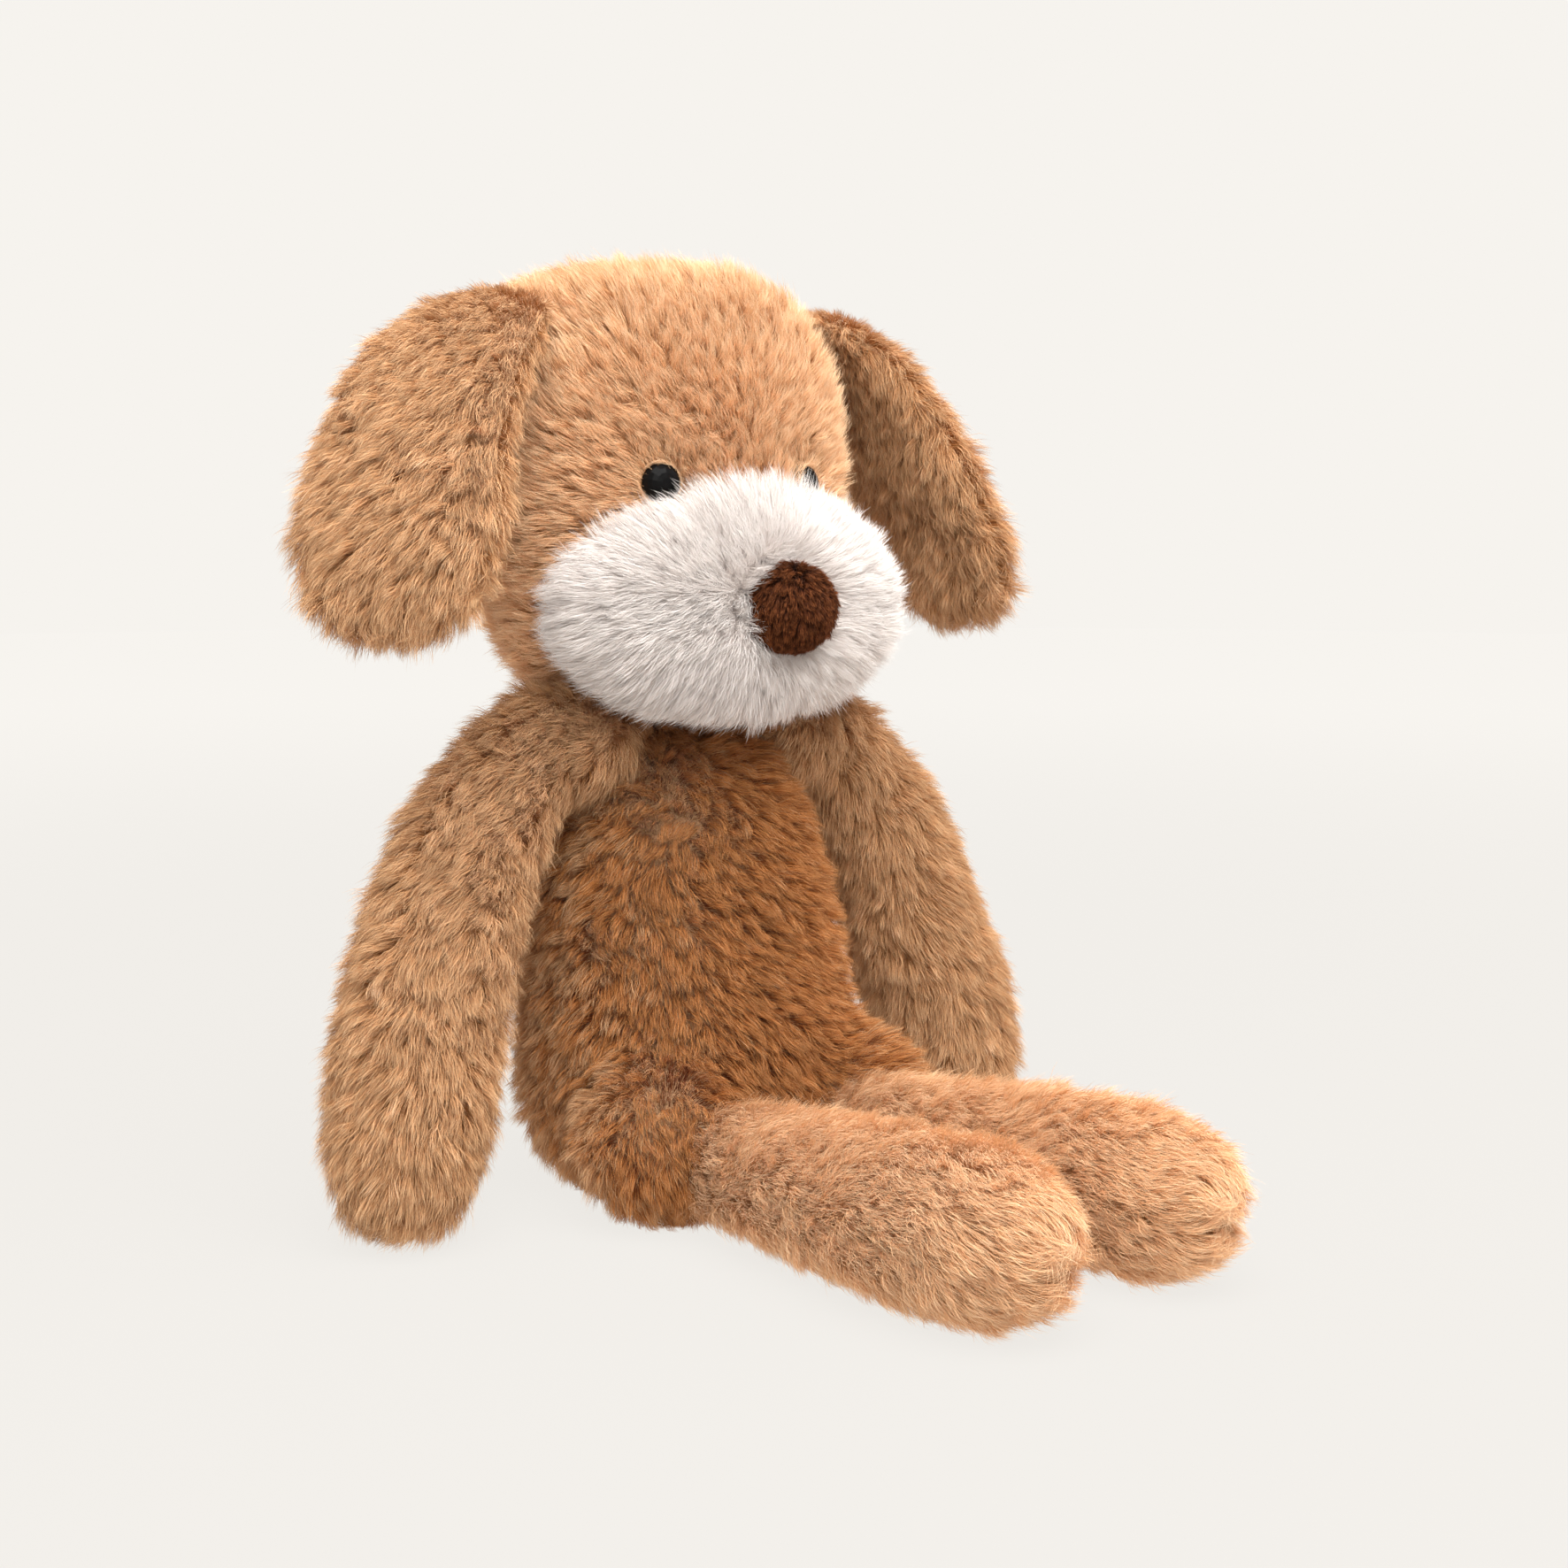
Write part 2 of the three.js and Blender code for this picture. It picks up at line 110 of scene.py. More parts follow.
class Nodes:
    """Adds nodes to a material's tree and joins them up."""

    def __init__(self, material):
        self.tree = material.node_tree
        self.shader = self.tree.nodes["Principled BSDF"]

    def add(self, kind, inputs=(), **settings):
        node = self.tree.nodes.new(kind)
        for key, value in settings.items():
            setattr(node, key, value)
        for key, value in dict(inputs).items():
            if isinstance(value, bpy.types.NodeSocket):
                self.tree.links.new(value, node.inputs[key])
            else:
                node.inputs[key].default_value = value
        return node

    def place(self):
        """Where a point of the surface is, in the object's own metres."""
        return self.add("ShaderNodeTexCoord").outputs["Object"]

    def noise(self, place, scale, **inputs):
        return self.add("ShaderNodeTexNoise", {"Vector": place, "Scale": scale, **inputs}).outputs["Fac"]

    def wave(self, place, scale, distortion, direction):
        inputs = {"Vector": place, "Scale": scale, "Distortion": distortion}
        return self.add("ShaderNodeTexWave", inputs, bands_direction=direction).outputs["Fac"]

    def product(self, a, b):
        return self.add("ShaderNodeMath", {0: a, 1: b}, operation="MULTIPLY").outputs[0]

    def ramp(self, factor, stops):
        node = self.add("ShaderNodeValToRGB", {"Fac": factor})
        for extra in range(len(stops) - 2):
            node.color_ramp.elements.new(0.5)
        for element, (position, colour) in zip(node.color_ramp.elements, stops):
            element.position = position
            element.color = (*colour, 1)
        return node.outputs["Color"]

    def bump(self, height, distance, strength=1.0):
        node = self.add("ShaderNodeBump", {"Height": height, "Distance": distance, "Strength": strength})
        self.tree.links.new(node.outputs["Normal"], self.shader.inputs["Normal"])

    def feed(self, socket, value):
        self.tree.links.new(value, self.shader.inputs[socket])


def backing(name, bottom_shade, shallow, grain):
    """The knitted backing with the dense roots of a pile on it, mottled, seen between the fibres. Its darker
    colour is painted shade at the bottom of the pile.
    """
    material = principled(name, shallow, 0.9)
    n = Nodes(material)
    place = n.place()
    mottle = n.noise(place, 130.0, Detail=4.0, Roughness=0.65)
    fibres = n.noise(place, grain, Detail=2.0, Roughness=0.7)
    n.feed("Base Color", n.ramp(n.product(mottle, fibres), [(0.12, bottom_shade), (0.42, shallow)]))
    n.bump(fibres, 0.6 * MM, 0.8)
    return material


def pile(name, tones, sheen=0.12, specular=0.25):
    """One material for each tone of a pile and each level of its fibres, all of one colour each. The root level's
    darker colour is painted shade deep in the pile.
    """
    made = []
    for tone, levels in enumerate(tones):
        for level, colour in zip(LEVEL_NAMES, levels):
            made.append(principled(f"{name}_{tone}_{level}", colour, 0.62, sheen_weight=sheen,
                                   sheen_roughness=0.4, specular_ior_level=specular))
    return made


def lighter(colour, share):
    return tuple(min(1.0, c * share) for c in colour)


# Root colours are darker than shaft and tip colours: painted shade deep in the pile
HONEY_ROOT = (0.56, 0.285, 0.115)
HONEY_SHAFT = (0.80, 0.490, 0.265)
HONEY_TIP = (0.84, 0.570, 0.345)
# Painted shade: darker, more saturated tones of the honey pile for the front of the torso
BELLY_SHADE_ROOT = (0.28, 0.077, 0.018)
BELLY_SHADE_SHAFT = (0.46, 0.172, 0.045)
BELLY_SHADE_TIP = (0.57, 0.250, 0.083)
WHITE_ROOT = (0.85, 0.785, 0.75)
WHITE_SHAFT = (0.87, 0.815, 0.785)
WHITE_TIP = (0.86, 0.815, 0.785)
BROWN_ROOT = (0.030, 0.010, 0.005)
BROWN_SHAFT = (0.075, 0.020, 0.006)
BROWN_TIP = (0.165, 0.052, 0.017)


def tones_of(levels, shares, depths=(1, 1, 1, 1)):
    """The colours of each tone. Share scales a colour, and a depth above 1 makes it more saturated."""
    tones = []
    for share, depth in zip(shares, depths):
        tones.append([lighter((red, red * (green / red) ** depth, red * (blue / red) ** depth), share)
                      for red, green, blue in levels])
    return tones


# Tones that differ at random; the darker ones are also more saturated, as pile in shade looks, and a coat's shade
# picks among them, lighter ones as painted light and darker ones as painted shade
honey_tones = tones_of((HONEY_ROOT, HONEY_SHAFT, HONEY_TIP), shares=(0.66, 0.78, 0.89, 0.97, 1.06, 1.16),
                       depths=(1.3, 1.25, 1.2, 1.1, 0.9, 0.98))
belly_shade_tones = tones_of((BELLY_SHADE_ROOT, BELLY_SHADE_SHAFT, BELLY_SHADE_TIP), shares=(0.7, 0.82, 0.94, 1.1))
white_tones = tones_of((WHITE_ROOT, WHITE_SHAFT, WHITE_TIP), shares=(0.97, 1.0, 1.02))
brown_tones = tones_of((BROWN_ROOT, BROWN_SHAFT, BROWN_TIP), shares=(0.7, 1.0, 1.4))
honey_pile = pile("honey_pile", honey_tones)
belly_shade_pile = pile("belly_shade_pile", belly_shade_tones + honey_tones[:4])
white_pile = pile("white_pile", white_tones)
brown_pile = pile("brown_pile", brown_tones, sheen=0.0, specular=0.1)
# The backings' darker colours, the honey one well below the root colour, are painted shade
honey_backing = backing("honey_backing", lighter(HONEY_ROOT, 0.6), HONEY_SHAFT, 900.0)
white_backing = backing("white_backing", WHITE_ROOT, WHITE_SHAFT, 900.0)
brown_backing = backing("brown_backing", BROWN_ROOT, BROWN_SHAFT, 1800.0)


# Skins

def relaxed(points, edges, rounds):
    """Each point moved halfway to the middle of its neighbours, a few times."""
    count = np.bincount(edges.ravel(), minlength=len(points))[:, None]
    for _ in range(rounds):
        total = np.zeros_like(points)
        np.add.at(total, edges[:, 0], points[edges[:, 1]])
        np.add.at(total, edges[:, 1], points[edges[:, 0]])
        points = (points + total / np.maximum(count, 1)) / 2
    return points


def read_points(mesh):
    points = np.empty(len(mesh.vertices) * 3)
    mesh.vertices.foreach_get("co", points)
    return points.reshape(-1, 3)


def read_normals(mesh):
    normals = np.empty(len(mesh.vertices) * 3)
    mesh.vertices.foreach_get("normal", normals)
    return normals.reshape(-1, 3)


def write_points(mesh, points):
    mesh.vertices.foreach_set("co", points.astype(np.float32).ravel())
    mesh.update()


def keep_largest_island(bm):
    """Deletes every part of the mesh but the largest, such as the walls of a hollow inside it."""
    left = set(bm.verts)
    islands = []
    while left:
        island = set()
        front = [left.pop()]
        while front:
            vert = front.pop()
            island.add(vert)
            for edge in vert.link_edges:
                other = edge.other_vert(vert)
                if other in left:
                    left.remove(other)
                    front.append(other)
        islands.append(island)
    islands.sort(key=len)
    for island in islands[:-1]:
        bmesh.ops.delete(bm, geom=list(island), context="VERTS")


def remeshed(name, members, stubs):
    """One closed mesh round CAD nodes and round stubs, which carry a bag into its joint or fill it out.
    A stub is (centre, radius)."""
    bm = bmesh.new()
    for member in members:
        bm.from_mesh(nodes[member].data)
    for centre, radius in stubs:
        made = bmesh.ops.create_icosphere(bm, subdivisions=3, radius=radius)
        bmesh.ops.translate(bm, verts=made["verts"], vec=centre)
    mesh = bpy.data.meshes.new(name)
    bm.to_mesh(mesh)
    bm.free()
    source = bpy.data.objects.new(name, mesh)
    bpy.context.scene.collection.objects.link(source)
    weld = source.modifiers.new("weld", "REMESH")
    weld.mode = "VOXEL"
    weld.voxel_size = VOXEL
    depsgraph = bpy.context.evaluated_depsgraph_get()
    whole = bpy.data.meshes.new_from_object(source.evaluated_get(depsgraph))
    bpy.data.objects.remove(source)
    bm = bmesh.new()
    bm.from_mesh(whole)
    keep_largest_island(bm)
    bm.to_mesh(whole)
    bm.free()
    whole.name = name
    return whole


def edges_of(mesh):
    edges = np.empty(len(mesh.edges) * 2, np.int64)
    mesh.edges.foreach_get("vertices", edges)
    return edges.reshape(-1, 2)


def skin(name, members, material, depth=BACKING_DEPTH, stubs=(), seams=(), lump=1.2 * MM):
    """The backing of one stuffed bag: closed, rounded, a little lumpy, and drawn in along its seams.
    A seam is (point, normal) of the plane that it lies in."""
    mesh = remeshed(name, members, stubs)
    edges = edges_of(mesh)
    points = relaxed(read_points(mesh), edges, 6)
    write_points(mesh, points)
    points = points - depth * read_normals(mesh)
    points = relaxed(points, edges, 3)
    write_points(mesh, points)
    inward = np.zeros(len(points))
    for point, normal in seams:
        distance = (points - np.array(point)) @ np.array(normal)
        inward += SEAM_DEPTH * np.exp(-((distance / SEAM_WIDTH) ** 2))
    lumps = np.array([noise.noise(Vector(p) * LUMPS_PER_METRE) for p in points])
    points = points + read_normals(mesh) * (lump * lumps - inward)[:, None]
    write_points(mesh, points)
    mesh.shade_smooth()
    mesh.materials.clear()
    mesh.materials.append(material)
    made = bpy.data.objects.new(name, mesh)
    bpy.context.scene.collection.objects.link(made)
    return made


# Pile

def unit(vectors):
    return vectors / np.maximum(np.linalg.norm(vectors, axis=-1, keepdims=True), 1e-9)


def tangential(vectors, normals):
    return vectors - (vectors * normals).sum(1, keepdims=True) * normals


def smooth_noise(points, scale, seed):
    """A slowly changing random vector at each point, the same at every run."""
    rng = np.random.default_rng(seed)
    total = np.zeros_like(points)
    for _ in range(6):
        wave = rng.normal(size=(3, 3)) * scale
        total += np.sin(points @ wave.T + rng.uniform(0, 2 * math.pi, 3))
    return total / 6


def sample(mesh, count, rng, weight):
    """Random points on a mesh with their normals. Weight says how thick the pile is at given points."""
    mesh.calc_loop_triangles()
    triangles = np.empty(len(mesh.loop_triangles) * 3, np.int64)
    mesh.loop_triangles.foreach_get("vertices", triangles)
    triangles = triangles.reshape(-1, 3)
    points = read_points(mesh)
    normals = read_normals(mesh)
    corners = points[triangles]
    sides = corners[:, 1:] - corners[:, :1]
    area = np.linalg.norm(np.cross(sides[:, 0], sides[:, 1]), axis=1) / 2
    share = area * weight(corners.mean(1))
    chosen = rng.choice(len(triangles), size=int(count * share.sum()), p=share / share.sum())
    mix = rng.dirichlet((1, 1, 1), size=len(chosen))
    return ((corners[chosen] * mix[:, :, None]).sum(1),
            unit((normals[triangles][chosen] * mix[:, :, None]).sum(1)))


def path(roots, normals, flow, length, upright, level):
    """Where a fibre is at a level: it leaves the skin steeply and bends over with the comb."""
    rise = level * (1 - (1 - upright) * level * 0.75)
    lean = (1 - upright) * (0.35 * level + 0.65 * level ** 2)
    return roots + length * (normals * rise + flow * lean)


@dataclass
class Coat:
    """How the pile of one bag looks. Lengths are in metres."""

    materials: list
    length: float
    width: float
    density: float              # fibres for each square metre
    tuft: float                 # the distance between the middles of two tufts
    gather: float               # how far fibres lean into their tuft, 0 to 1
    upright: float              # 0 lies along the skin and 1 stands straight up
    unruly: float               # how far fibres stray from the comb
    shade: float = 0.0          # painted light (+) and painted shade (-): picks lighter and darker tones
    lift: tuple = (0, 0, 0)     # painted light on the side that it points to and painted shade on the opposite side
    drawn: float = 0.0          # how much shorter the pile is where the bag is sewn on
    crease_shade: float = 0.0            # how much painted shade darkens the pile there


# One honey pile throughout: the legs and the face get lighter tones as painted light, the ears and the arms darker
# tones as painted shade
EAR = Coat(honey_pile, length=12 * MM, width=0.17 * MM, density=4.8e6, tuft=2.6 * MM, gather=0.28,
           upright=0.32, unruly=0.34, shade=-1.3, drawn=0.55, crease_shade=1.2)
ARM = Coat(honey_pile, length=12 * MM, width=0.17 * MM, density=4.8e6, tuft=2.7 * MM, gather=0.3,
           upright=0.36, unruly=0.36, shade=-1.5, crease_shade=0.5)
# The leg's pile is painted darker next to the hip, as shade in the crease
LEG = Coat(honey_pile, length=11.5 * MM, width=0.17 * MM, density=4.8e6, tuft=2.6 * MM, gather=0.28,
           upright=0.2, unruly=0.28, shade=2.7, crease_shade=3.2)
# The torso's front gets the darker, more saturated tones as painted shade, and lift (0, 2.4, 0) gives it lighter
# honey tones towards its back as painted light
BODY = Coat(belly_shade_pile, length=12 * MM, width=0.17 * MM, density=4.6e6, tuft=2.8 * MM, gather=0.36,
            upright=0.48, unruly=0.48, shade=0.3, lift=(0, 2.4, 0))
# lift (0, 0, -2.4) paints shade on the top of the head and painted light on its underside
FACE = Coat(honey_pile, length=11.5 * MM, width=0.16 * MM, density=5.0e6, tuft=2.6 * MM, gather=0.3,
            upright=0.34, unruly=0.42, shade=2.5, lift=(0, 0, -2.4))
MUZZLE = Coat(white_pile, length=11.5 * MM, width=0.16 * MM, density=8.0e6, tuft=2.2 * MM, gather=0.1,
              upright=0.32, unruly=0.24)
VELOUR = Coat(brown_pile, length=4.2 * MM, width=0.17 * MM, density=16.0e6, tuft=1.3 * MM, gather=0.4,
              upright=0.3, unruly=0.32)
COATS = {"torso": BODY, "head": FACE, "ear": EAR, "arm": ARM, "leg": LEG}


def grow(name, base, coat, source, seed, weight, shape=None, sewn=None):
    """The pile of a skin, combed away from a source point. Shape may bend fibres away from what they meet.
    Sewn is the point where the bag is sewn on."""
    rng = np.random.default_rng(seed)
    roots, normals = sample(base.data, coat.density * DENSITY_SHARE, rng, weight)
    tuft_count = 1 / (coat.tuft ** 2)
    centres, centre_normals = sample(base.data, tuft_count, rng, weight)
    tree = KDTree(len(centres))
    for i, centre in enumerate(centres):
        tree.insert(centre, i)
    tree.balance()
    owner = np.array([tree.find(root)[1] for root in roots])

    def comb(points, facing):
        away = unit(tangential(points - np.array(source), facing))
        stray = smooth_noise(points, 55, seed) + 0.6 * smooth_noise(points, 190, seed + 1)
        return unit(tangential(away + coat.unruly * 2.4 * stray, facing))

    tuft_flow = comb(centres, centre_normals)
    tuft_flow = unit(tuft_flow + rng.normal(scale=coat.unruly * 0.5, size=tuft_flow.shape))
    tuft_length = coat.length * rng.uniform(0.86, 1.12, len(centres))
    nearness = np.zeros(len(centres))
    if sewn is not None:
        nearness = np.exp(-(np.linalg.norm(centres - np.array(sewn), axis=1) / SEWN_REACH) ** 2)
    tuft_length = tuft_length * (1 - coat.drawn * nearness)
    tuft_upright = coat.upright + rng.normal(scale=0.12, size=len(centres))
    tuft_upright = np.clip(tuft_upright, 0.15, 0.85)
    flow = unit(tuft_flow[owner] + rng.normal(scale=0.22, size=roots.shape))
    length = (tuft_length[owner] * rng.uniform(0.72, 1.06, len(roots)))[:, None]
    upright = np.clip(tuft_upright[owner] + rng.normal(scale=0.08, size=len(roots)), 0.1, 0.95)[:, None]
    loose = np.clip(coat.gather + rng.normal(scale=0.18, size=len(roots)), 0.1, 0.92)[:, None]

    lines = []
    tuft_shape = (tuft_flow[owner], tuft_length[owner][:, None], tuft_upright[owner][:, None])
    for level in FIBRE_LEVELS:
        own = path(roots, normals, flow, length, upright, level)
        shared = path(centres[owner], centre_normals[owner], *tuft_shape, level)
        lines.append(own + (shared - own) * loose * level ** 1.4)
    lines = np.stack(lines, 1)
    if shape is not None:
        lines = shape(lines)

    tone_count = len(coat.materials) // len(LEVEL_NAMES)
    tuft_tone = rng.normal(scale=0.75, size=len(centres))
    # The tuft's tone and the fibre's own tone differ at random, and the coat's shade adds painted light and
    # painted shade
    tone = tuft_tone[owner] + rng.normal(scale=0.7, size=len(roots)) + (tone_count - 1) / 2 + coat.shade
    # Lighter tones on the side that lift points to are painted light; darker tones on the opposite side and near
    # the sewn end are painted shade
    tone = tone + normals @ np.array(coat.lift) - coat.crease_shade * nearness[owner]
    tone = np.clip(np.rint(tone), 0, tone_count - 1).astype(np.int32)
    return fibres(name, lines, normals, coat, tone, rng)


def fibres(name, lines, normals, coat, tone, rng):
    """A mesh of thin ribbons along the lines. Each narrows to a point and is turned at random."""
    count = len(lines)
    facing = unit(0.45 * normals + rng.normal(scale=0.6, size=normals.shape))
    along = unit(lines[:, -1] - lines[:, 0])
    across = unit(np.cross(along, facing))
    width = coat.width * rng.uniform(0.7, 1.25, count)[:, None] / 2
    rings = len(FIBRE_LEVELS) - 1
    corners = np.empty((count, 2 * rings + 1, 3))
    for ring, level in enumerate(FIBRE_LEVELS[:-1]):
        half = across * width * (1 - 0.55 * level)
        corners[:, 2 * ring] = lines[:, ring] - half
        corners[:, 2 * ring + 1] = lines[:, ring] + half
    corners[:, -1] = lines[:, -1]
    faces = [(0, 1, 3, 2), (2, 3, 5, 4), (4, 5, 6)]
    loops = np.array([corner for face in faces for corner in face])
    starts = np.array([0, 4, 8])
    sizes = np.array([4, 4, 3])
    first = np.arange(count)[:, None]
    mesh = bpy.data.meshes.new(name)
    mesh.vertices.add(count * corners.shape[1])
    mesh.vertices.foreach_set("co", corners.astype(np.float32).ravel())
    mesh.loops.add(count * len(loops))
    mesh.loops.foreach_set("vertex_index", (first * corners.shape[1] + loops).astype(np.int32).ravel())
    mesh.polygons.add(count * len(faces))
    mesh.polygons.foreach_set("loop_start", (first * len(loops) + starts).astype(np.int32).ravel())
    mesh.polygons.foreach_set("loop_total", np.tile(sizes, count).astype(np.int32))
    mesh.polygons.foreach_set("use_smooth", np.ones(count * len(faces), bool))
    for material in coat.materials:
        mesh.materials.append(material)
    slots = tone[:, None] * len(LEVEL_NAMES) + np.arange(len(LEVEL_NAMES))
    mesh.polygons.foreach_set("material_index", slots.astype(np.int32).ravel())
    mesh.update(calc_edges=True)
    made = bpy.data.objects.new(name, mesh)
    bpy.context.scene.collection.objects.link(made)
    return made


# The bags of the dog

def above_floor(lines):
    """Fibres that would go through the floor lie along it instead."""
    lines[:, :, 2] = np.maximum(lines[:, :, 2], FLOOR_GAP)
    return lines


def everywhere(points):
    return np.ones(len(points))


def is_inside(tree, point):
    """Whether a point is inside a closed skin, so that a straight line from there crosses it an odd number of
    times."""
    direction = Vector((0.31, -0.42, 0.85))
    crossings = 0
    start, index = point, 0
    while index is not None:
        start, _, index, _ = tree.ray_cast(start, direction)
        if index is not None:
            start = start + direction * 1e-6
            crossings += 1
    return crossings % 2 == 1


def outside(*others):
    """A weight that leaves out the part of a skin that lies inside another skin."""
    trees = []
    for other in others:
        bm = bmesh.new()
        bm.from_mesh(other.data)
        trees.append(BVHTree.FromBMesh(bm))
        bm.free()

    def weight(points):
        buried = [any(is_inside(tree, Vector(p)) for tree in trees) for p in points]
        return 1 - np.array(buried, float)
    return weight


def body_nodes(body):
    return frame["record"]["behaviour"]["bodies"][body]


def stub(joint, shift, radius):
    """A round stub beside a joint's pivot. Shift and radius are in millimetres."""
    return pivots[joint] + Vector(shift) * MM, radius * MM


def torso():
    hips = [stub(f"hip_{side}_fold", (8 * hand, 8, 4), 28) for side, hand in HANDS]
    collar = [stub("neck_nod", (22 * hand, -6, -8), 22) for _, hand in HANDS]
    apart = ("closing_stitches", "care_label", "pellet_bag")
    members = [n for n in body_nodes("torso") if n not in apart]
    seam_y = (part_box("torso_front_panel")[1].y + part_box("torso_back_panel_left")[0].y) / 2
    seam_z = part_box("seat_gusset")[1].z
    seams = [((0, seam_y, 0), (0, 1, 0)), ((0, 0, seam_z), (0, 0, 1))]
    made = skin("torso_skin", members, honey_backing, stubs=hips + collar, seams=seams)
    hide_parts(*members, "pellet_bag")
    return made


def head():
    members = [n for n in body_nodes("head") if n.startswith("head_")]
    seam_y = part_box("head_back_panel_left")[0].y
    sockets = [(Vector(centre) - Vector(axis) * 3 * MM, 12 * MM) for centre, axis in eyes.values()]
    cheeks = [stub("neck_nod", (34 * hand, -4, 20), 26) for _, hand in HANDS]
    temples = [stub(f"ear_{side}_lift", (-12 * hand, 0, -3), 14) for side, hand in HANDS]
    made = skin("head_skin", members, honey_backing, depth=6 * MM, stubs=cheeks + sockets + temples,
                seams=[((0, seam_y, 0), (0, 1, 0))])
    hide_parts(*members)
    return made


def muzzle():
    members = [n for n in body_nodes("head") if n.startswith("muzzle_")]
    seam_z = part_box("muzzle_upper_panel")[0].z
    made = skin("muzzle_skin", members, white_backing, depth=3.5 * MM, seams=[((0, 0, seam_z), (0, 0, 1))])
    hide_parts(*members)
    return made


def nose():
    members = ["nose_cover", "nose_stuffing"]
    made = skin("nose_skin", members, brown_backing, depth=1.2 * MM, lump=0.3 * MM)
    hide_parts(*members)
    return made


def eye_place(name):
    """The middle of an eye's dome, and the way it looks: away from the washer that holds it."""
    look = middle(name) - middle(name.replace("eye", "eye_washer"))
    return middle(name), np.array(look.normalized())


@dataclass
class Limb:
    """How one limb is sewn on. Shift, start and end are millimetres from its pivot, where the bend is."""

    parent: str
    joint: str
    shift: tuple
    radius: float
    depth: float
    seam: tuple
    start: tuple
    end: tuple


def limbs_of(side, hand):
    ear_lift, shoulder, hip = f"ear_{side}_lift", f"shoulder_{side}_swing", f"hip_{side}_fold"
    ear_middle = middle(f"ear_{side}_outer_panel", f"ear_{side}_inner_panel")
    return {
        f"ear_{side}": Limb("head", ear_lift, shift=(-1 * hand, 0, -4), radius=15, depth=5 * MM,
                            seam=(ear_middle, (0.835 * hand, -0.193, 0.515)),
                            start=(-8 * hand, 0, 0), end=(16 * hand, 0, -4)),
        f"arm_{side}": Limb("torso", shoulder, shift=(4 * hand, 0, 4), radius=23, depth=6 * MM,
                            seam=(pivots[shoulder], (0, 1, 0)),
                            start=(-7 * hand, 0, 0), end=(10 * hand, 0, 0)),
        f"leg_{side}": Limb("torso", hip, shift=(0, 0, 0), radius=21, depth=5.5 * MM,
                            seam=(pivots[hip], (0, 0, 1)),
                            start=(0, 10, 0), end=(0, -14, 0)),
    }


def limb_skin(body, limb):
    members = body_nodes(body)
    sewn_end = stub(limb.joint, limb.shift, limb.radius)
    made = skin(f"{body}_skin", members, honey_backing, depth=limb.depth, stubs=[sewn_end], seams=[limb.seam])
    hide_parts(*members)
    return made


nose_middle = middle("nose_cover")
eyes = {side: eye_place(f"eye_{side}") for side, _ in HANDS}
limbs = {}
for side, hand in HANDS:
    limbs.update(limbs_of(side, hand))

torso_skin = torso()
head_skin = head()
muzzle_skin = muzzle()
nose_skin = nose()
limb_skins = {body: limb_skin(body, limb) for body, limb in limbs.items()}


def follow(piece, body):
    """A limb's piece has its transform baked into its mesh, and any other piece rides on its own body."""
    if body in limbs:
        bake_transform(piece)
    else:
        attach(piece, body)


def clear_of_eyes(lines, wanted):
    """Fibres part round the eyes and are shorter next to them, so that only a few ends lie over the rims.
    Wanted is their distance from the line that an eye looks along."""
    for centre, axis in eyes.values():
        from_eye = lines - np.array(centre)
        beside = (np.abs(from_eye @ axis) < EYE_REACH)[..., None]
        away = from_eye - (from_eye @ axis)[..., None] * axis
        distance = np.linalg.norm(away, axis=-1, keepdims=True)
        nearness = np.clip(1 - (distance[:, :1] - wanted) / EYE_PARTING, 0, 1) * beside[:, :1]
        lines = lines[:, :1] + (lines - lines[:, :1]) * (1 - 0.5 * nearness)
        from_eye = lines - np.array(centre)
        away = from_eye - (from_eye @ axis)[..., None] * axis
        distance = np.linalg.norm(away, axis=-1, keepdims=True)
        push = beside * np.clip(wanted - distance, 0, None) + nearness * FIBRE_LEVELS[:, None] * 2 * MM
        lines = lines + away / np.maximum(distance, 1e-6) * push
    return lines


def head_shape(lines):
    return clear_of_eyes(lines, 5.2 * MM)


def muzzle_shape(lines):
    return clear_of_eyes(lines, 2.2 * MM)


def torso_shape(lines):
    """Fibres stay above the floor, and those at the label on the back lie under it."""
    lines = above_floor(lines)
    low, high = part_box("care_label")
    x, y, z = lines[..., 0], lines[..., 1], lines[..., 2]
    under = (x > low.x - LABEL_MARGIN) & (x < high.x + LABEL_MARGIN) & (y > 0)
    under &= (z > low.z - LABEL_MARGIN) & (z < high.z + LABEL_MARGIN)
    lines[..., 1] = np.where(under, np.minimum(y, low.y - LABEL_GAP), y)
    return lines


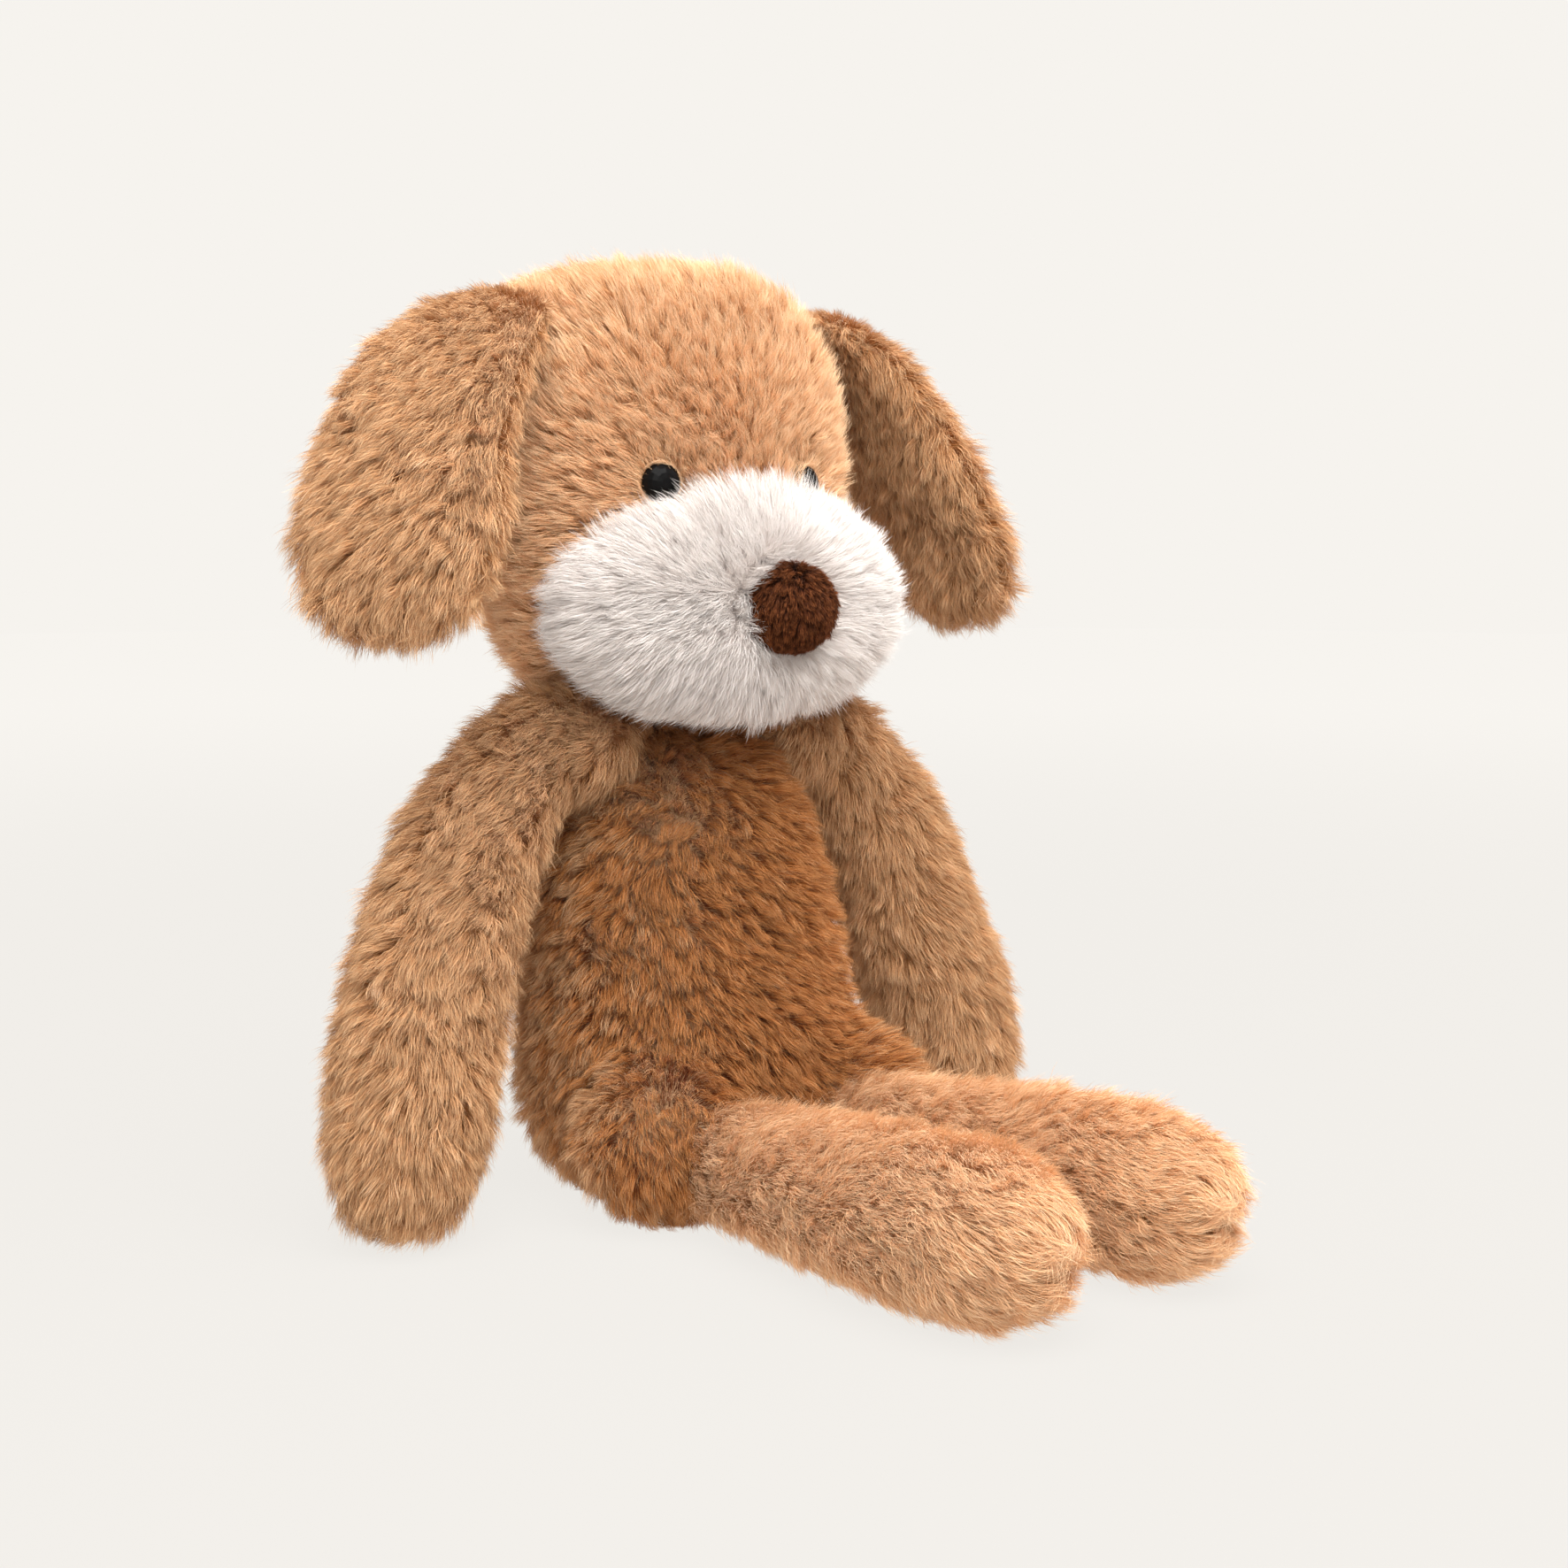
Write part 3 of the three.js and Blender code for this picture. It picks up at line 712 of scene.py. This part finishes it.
def coats():
    bodies = {"torso": torso_skin, "head": head_skin, **limb_skins}
    seeds = {name: 11 + 7 * i for i, name in enumerate(bodies)}
    covers = {
        "torso": [],
        "head": [muzzle_skin],
        **{f"ear_{side}": [head_skin] for side, _ in HANDS},
        **{f"arm_{side}": [torso_skin] for side, _ in HANDS},
        **{f"leg_{side}": [torso_skin] for side, _ in HANDS},
    }
    sources = {"torso": pivots["neck_nod"], "head": nose_middle}
    for side, _ in HANDS:
        sources[f"ear_{side}"] = pivots[f"ear_{side}_lift"] + Vector((-45 * hand, 0, 40)) * MM
        sources[f"arm_{side}"] = pivots[f"shoulder_{side}_swing"] + Vector((-25 * hand, 0, 40)) * MM
        sources[f"leg_{side}"] = pivots[f"hip_{side}_fold"] + Vector((0, 25 * MM, 0))
    for name, base in bodies.items():
        weight = outside(*covers[name]) if covers[name] else everywhere
        shape = {"head": head_shape, "torso": torso_shape}.get(name, above_floor)
        coat = COATS[name.split("_")[0]]
        sewn = pivots[limbs[name].joint] if name in limbs else None
        made = grow(f"{name}_pile", base, coat, sources[name], seeds[name], weight, shape, sewn)
        finish_soft(base, name)
        finish_soft(made, name)
    made = grow("muzzle_pile", muzzle_skin, MUZZLE, nose_middle, 101, outside(head_skin), muzzle_shape)
    finish_soft(muzzle_skin, "head")
    finish_soft(made, "head")
    above_nose = nose_middle + Vector((0, -8, 30)) * MM
    made = grow("nose_pile", nose_skin, VELOUR, above_nose, 103, everywhere)
    finish_soft(nose_skin, "head")
    finish_soft(made, "head")


def finish_soft(piece, body):
    follow(piece, body)


# Hard pieces and trims

def finish_eye():
    material = principled("glossy_eye", (0.006, 0.006, 0.006), 0.2, specular_ior_level=0.05)
    n = Nodes(material)
    smudge = n.noise(n.place(), 240.0, Detail=3.0)
    n.feed("Roughness", n.ramp(smudge, [(0.35, (0.15,) * 3), (0.75, (0.26,) * 3)]))
    return material


def finish_thread():
    material = principled("honey_thread", HONEY_SHAFT, 0.75)
    n = Nodes(material)
    twist = n.wave(n.place(), 700.0, 1.0, "DIAGONAL")
    n.feed("Base Color", n.ramp(twist, [(0.2, lighter(HONEY_ROOT, 0.8)), (0.8, HONEY_SHAFT)]))
    n.bump(twist, 0.15 * MM)
    return material


def finish_satin():
    material = principled("blank_satin", (0.9, 0.89, 0.87), 0.38, sheen_weight=0.2)
    n = Nodes(material)
    place = n.place()
    weave = n.product(n.wave(place, 900.0, 0.3, "X"), n.wave(place, 1400.0, 0.3, "Z"))
    n.feed("Base Color", n.ramp(weave, [(0.0, (0.8, 0.79, 0.77)), (1.0, (0.93, 0.92, 0.9))]))
    n.bump(weave, 0.08 * MM)
    return material


def finish_nylon():
    material = principled("natural_nylon", (0.82, 0.80, 0.75), 0.5)
    n = Nodes(material)
    grain = n.noise(n.place(), 500.0, Detail=3.0)
    n.feed("Base Color", n.ramp(grain, [(0.3, (0.74, 0.72, 0.67)), (0.7, (0.86, 0.84, 0.80))]))
    return material


def dress(names, material):
    """Gives CAD nodes, which stay as they are, a better material."""
    for name in names:
        mesh = nodes[name].data
        mesh.materials.clear()
        mesh.materials.append(material)
        mesh.shade_smooth()


coats()
dress([f"eye_{side}" for side, _ in HANDS], finish_eye())
dress([f"eye_washer_{side}" for side, _ in HANDS], finish_nylon())
dress(["closing_stitches"], finish_thread())
dress(["care_label"], finish_satin())


# Floor, light and camera

CREAM = (0.922, 0.896, 0.855)
BACKDROP_RADIUS = 4.0


def glow(name, colour, strength, base):
    material = principled(name, base, 0.9, specular_ior_level=0.0)
    shader = material.node_tree.nodes["Principled BSDF"]
    shader.inputs["Emission Color"].default_value = (*colour, 1)
    shader.inputs["Emission Strength"].default_value = strength
    return material


def floor_material():
    """Pale, and as bright far off, where the softboxes don't reach, as close to the dog."""
    material = glow("pale_floor", CREAM, 0.89, (0.034, 0.033, 0.032))
    n = Nodes(material)
    reach = n.add("ShaderNodeVectorMath", {0: n.place()}, operation="LENGTH")
    far = n.add("ShaderNodeMapRange", {"Value": reach.outputs["Value"], "From Min": 0.3, "From Max": 2.2,
                                       "To Min": 0.89, "To Max": 0.985}, interpolation_type="SMOOTHSTEP")
    n.feed("Emission Strength", far.outputs["Result"])
    return material


def drop_under(floor, body, node):
    """Lowers the floor when a leg hangs down: it stays below the leg's end, and at rest it is at height 0."""
    low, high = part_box(node)
    probe = bpy.data.objects.new(f"{body}_end", None)
    bpy.context.scene.collection.objects.link(probe)
    probe.location = ((low.x + high.x) / 2, low.y, (low.z + high.z) / 2)
    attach(probe, body)
    limit = floor.constraints.new("FLOOR")
    limit.target = probe
    limit.floor_location = "FLOOR_NEGATIVE_Z"
    limit.offset = -probe.location.z


def studio():
    bpy.ops.mesh.primitive_circle_add(vertices=96, radius=BACKDROP_RADIUS, fill_type="NGON")
    floor = bpy.context.object
    floor.name = "floor"
    floor.data.materials.append(floor_material())
    for side, _ in HANDS:
        drop_under(floor, f"leg_{side}", f"leg_{side}_stuffing")
    bpy.ops.mesh.primitive_uv_sphere_add(radius=BACKDROP_RADIUS * 0.98, segments=64, ring_count=32)
    backdrop = bpy.context.object
    backdrop.name = "backdrop"
    backdrop.data.shade_smooth()
    backdrop.data.materials.append(glow("pale_backdrop", CREAM, 1.0, (0, 0, 0)))
    backdrop.visible_diffuse = False
    backdrop.visible_glossy = False
    backdrop.visible_shadow = False


def softbox(name, place, target, size, power, colour=(1, 1, 1)):
    light = bpy.data.lights.new(name, "AREA")
    light.shape = "DISK"
    light.size = size
    light.energy = power
    light.color = colour
    lamp = bpy.data.objects.new(name, light)
    bpy.context.scene.collection.objects.link(lamp)
    lamp.location = place
    lamp.rotation_euler = (Vector(target) - Vector(place)).to_track_quat("-Z", "Y").to_euler()


def lights():
    target = (0, 0, 0.15)
    softbox("top", (-0.2, -0.55, 1.42), target, 1.6, 41, (1.0, 0.985, 0.965))
    softbox("key", (-0.9, -1.2, 0.9), target, 1.0, 8, (1.0, 0.98, 0.955))
    softbox("fill", (1.3, -0.7, 0.5), target, 1.2, 8, (1.0, 0.93, 0.88))
    softbox("rim", (0.2, 1.3, 0.9), target, 1.4, 2)
    world = bpy.data.worlds.new("studio")
    world.use_nodes = True
    background = world.node_tree.nodes["Background"]
    background.inputs["Color"].default_value = (1.0, 0.985, 0.96, 1)
    background.inputs["Strength"].default_value = 0.56
    bpy.context.scene.world = world
    bpy.context.scene.view_settings.view_transform = "Standard"


def camera():
    """Stands at the dog's front right, a little above its head's height, and looks slightly down."""
    data = bpy.data.cameras.new("camera")
    data.sensor_width = 36
    data.lens = 56
    data.clip_end = 20
    eye = bpy.data.objects.new("camera", data)
    bpy.context.scene.collection.objects.link(eye)
    turn, pitch = math.radians(39.9), math.radians(6.3)
    look = Vector((math.sin(turn) * math.cos(pitch), math.cos(turn) * math.cos(pitch), -math.sin(pitch)))
    eye.location = (-0.4778, -0.6175, 0.215)
    eye.rotation_euler = look.to_track_quat("-Z", "Y").to_euler()
    bpy.context.scene.camera = eye


studio()
lights()
camera()
